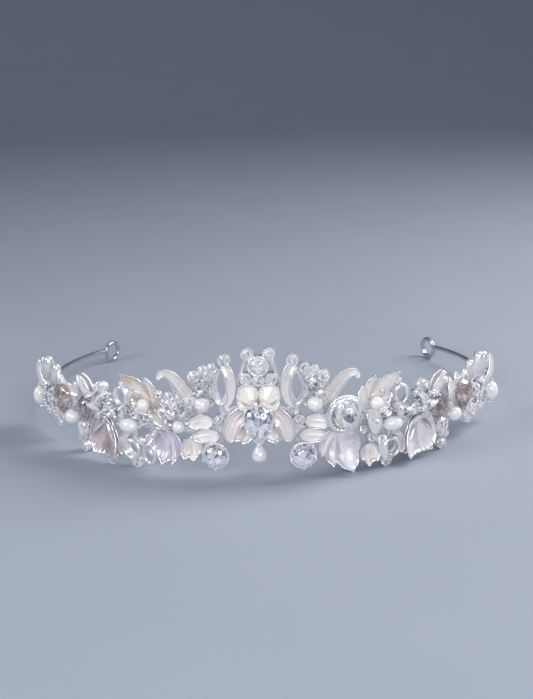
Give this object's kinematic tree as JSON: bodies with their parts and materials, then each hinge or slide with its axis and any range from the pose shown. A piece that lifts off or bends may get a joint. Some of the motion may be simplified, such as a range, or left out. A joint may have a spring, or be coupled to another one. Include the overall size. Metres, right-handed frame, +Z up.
{
  "type": "bridal tiara",
  "caption": "Wire-bow bridal tiara with soldered sprays of lobed enamel leaves, prong-set crystals and pearls turning on wires, and an eye loop at each end.",
  "frame": {"origin": "centre of the footprint on the table the tiara stands on", "axes": "+X to the right as seen from the front, +Y from the decorated front towards the wearer's ears, +Z up"},
  "size_m": [0.1456, 0.1164, 0.0379],
  "materials": {
    "silver_wire": "bright silver plate",
    "silver_casting": "bright silver plate",
    "silver_leaf": "satin silver plate",
    "pearl_enamel": "pearly white enamel",
    "lavender_enamel": "pearly lavender enamel",
    "ivory_enamel": "pearly ivory enamel",
    "blush_petal": "pearly pink enamel",
    "pearl": "pearl lustre",
    "milky_drop": "milky lavender gloss",
    "clear_crystal": "cut and polished, foiled back",
    "rhinestone": "cut and polished, foiled back",
    "smoky_crystal": "cut and polished, foiled back",
    "navy_crystal": "cut and polished, foiled back",
    "amber_crystal": "cut and polished, foiled back"
  },
  "bodies": {
    "tiara": {"binding_coils": "silver_wire", "centre_frame": "silver_casting", "crown_crystal": "clear_crystal", "cupped_petal_left": "ivory_enamel", "cupped_petal_right": "ivory_enamel", "curl_leaf_left": "silver_leaf", "curl_leaf_right": "silver_leaf", "drop_pearl": "milky_drop", "end_frame_left": "silver_casting", "end_frame_right": "silver_casting", "end_leaf_left": "pearl_enamel", "end_leaf_right": "pearl_enamel", "end_loop_left": "silver_wire", "end_loop_right": "silver_wire", "fan_leaf_left": "pearl_enamel", "fan_leaf_right": "pearl_enamel", "glued_pearls_left": "pearl", "glued_pearls_right": "pearl", "headband": "silver_wire", "inner_frame_left": "silver_casting", "inner_frame_right": "silver_casting", "low_crystal_left": "navy_crystal", "low_crystal_right": "navy_crystal", "maple_leaf_left": "pearl_enamel", "maple_leaf_right": "pearl_enamel", "marquise_petals_left": "pearl_enamel", "marquise_petals_right": "pearl_enamel", "mid_frame_left": "silver_casting", "mid_frame_right": "silver_casting", "outer_frame_left": "silver_casting", "outer_frame_right": "silver_casting", "outer_gems_left": "amber_crystal", "outer_gems_right": "amber_crystal", "oval_crystal_right": "smoky_crystal", "pear_crystal": "smoky_crystal", "rhinestones_centre": "rhinestone", "rhinestones_left": "rhinestone", "rhinestones_right": "rhinestone", "shell_petals": "lavender_enamel", "trumpet_petal_left": "blush_petal", "trumpet_petal_right": "blush_petal", "upper_leaf_left": "lavender_enamel", "upper_leaf_right": "lavender_enamel", "veined_leaf_left": "pearl_enamel", "veined_leaf_right": "pearl_enamel"},
    "round_pearl_right": {"round_pearl_right": "pearl"},
    "round_pearl_left": {"round_pearl_left": "pearl"},
    "rondelles_inner_right": {"rondelles_inner_right": "clear_crystal"},
    "rondelles_inner_left": {"rondelles_inner_left": "clear_crystal"},
    "rondelles_cluster_left": {"rondelles_cluster_left": "clear_crystal"},
    "rice_pearl_right": {"rice_pearl_right": "pearl"},
    "rice_pearl_left": {"rice_pearl_left": "pearl"},
    "rondelles_mid_right": {"rondelles_mid_right": "clear_crystal"},
    "rondelles_mid_left": {"rondelles_mid_left": "clear_crystal"},
    "rondelles_outer_right": {"rondelles_outer_right": "clear_crystal"},
    "rondelles_outer_left": {"rondelles_outer_left": "clear_crystal"},
    "outer_pearl_right": {"outer_pearl_right": "pearl"},
    "outer_pearl_left": {"outer_pearl_left": "pearl"},
    "end_pearl_right": {"end_pearl_right": "pearl"},
    "end_pearl_left": {"end_pearl_left": "pearl"}
  },
  "joints": [
    {"name": "round_pearl_right_spin", "type": "hinge", "parent": "tiara", "child": "round_pearl_right", "pos_m": [0.01538, -0.05205, 0.022], "axis": [0.9801, 0.1987, 0], "continuous": true},
    {"name": "round_pearl_left_spin", "type": "hinge", "parent": "tiara", "child": "round_pearl_left", "pos_m": [-0.01538, -0.05205, 0.022], "axis": [-0.9801, 0.1987, 0], "continuous": true},
    {"name": "rondelles_inner_right_spin", "type": "hinge", "parent": "tiara", "child": "rondelles_inner_right", "pos_m": [0.01529, -0.05161, 0.0268], "axis": [0.9801, 0.1987, 0], "continuous": true},
    {"name": "rondelles_inner_left_spin", "type": "hinge", "parent": "tiara", "child": "rondelles_inner_left", "pos_m": [-0.01529, -0.05161, 0.0268], "axis": [-0.9801, 0.1987, 0], "continuous": true},
    {"name": "rondelles_cluster_left_spin", "type": "hinge", "parent": "tiara", "child": "rondelles_cluster_left", "pos_m": [-0.02073, -0.05051, 0.01847], "axis": [-0.7307, 0.1481, 0.6665], "continuous": true},
    {"name": "rice_pearl_right_spin", "type": "hinge", "parent": "tiara", "child": "rice_pearl_right", "pos_m": [0.03708, -0.04448, 0.0132], "axis": [0.9048, 0.4259, 0], "continuous": true},
    {"name": "rice_pearl_left_spin", "type": "hinge", "parent": "tiara", "child": "rice_pearl_left", "pos_m": [-0.03708, -0.04448, 0.0132], "axis": [-0.9048, 0.4259, 0], "continuous": true},
    {"name": "rondelles_mid_right_spin", "type": "hinge", "parent": "tiara", "child": "rondelles_mid_right", "pos_m": [0.0386, -0.04326, 0.0174], "axis": [0.9048, 0.4259, 0], "continuous": true},
    {"name": "rondelles_mid_left_spin", "type": "hinge", "parent": "tiara", "child": "rondelles_mid_left", "pos_m": [-0.0386, -0.04326, 0.0174], "axis": [-0.9048, 0.4259, 0], "continuous": true},
    {"name": "rondelles_outer_right_spin", "type": "hinge", "parent": "tiara", "child": "rondelles_outer_right", "pos_m": [0.04707, -0.03775, 0.0182], "axis": [0.7691, 0.6391, 0], "continuous": true},
    {"name": "rondelles_outer_left_spin", "type": "hinge", "parent": "tiara", "child": "rondelles_outer_left", "pos_m": [-0.04707, -0.03775, 0.0182], "axis": [-0.7691, 0.6391, 0], "continuous": true},
    {"name": "outer_pearl_right_spin", "type": "hinge", "parent": "tiara", "child": "outer_pearl_right", "pos_m": [0.05616, -0.03085, 0.0108], "axis": [0.7669, 0.6372, -0.0767], "continuous": true},
    {"name": "outer_pearl_left_spin", "type": "hinge", "parent": "tiara", "child": "outer_pearl_left", "pos_m": [-0.05616, -0.03085, 0.0108], "axis": [-0.7669, 0.6372, -0.0767], "continuous": true},
    {"name": "end_pearl_right_spin", "type": "hinge", "parent": "tiara", "child": "end_pearl_right", "pos_m": [0.07067, -0.00974, 0.0101], "axis": [0, 0, 1], "continuous": true},
    {"name": "end_pearl_left_spin", "type": "hinge", "parent": "tiara", "child": "end_pearl_left", "pos_m": [-0.07067, -0.00974, 0.0101], "axis": [0, 0, 1], "continuous": true}
  ]
}
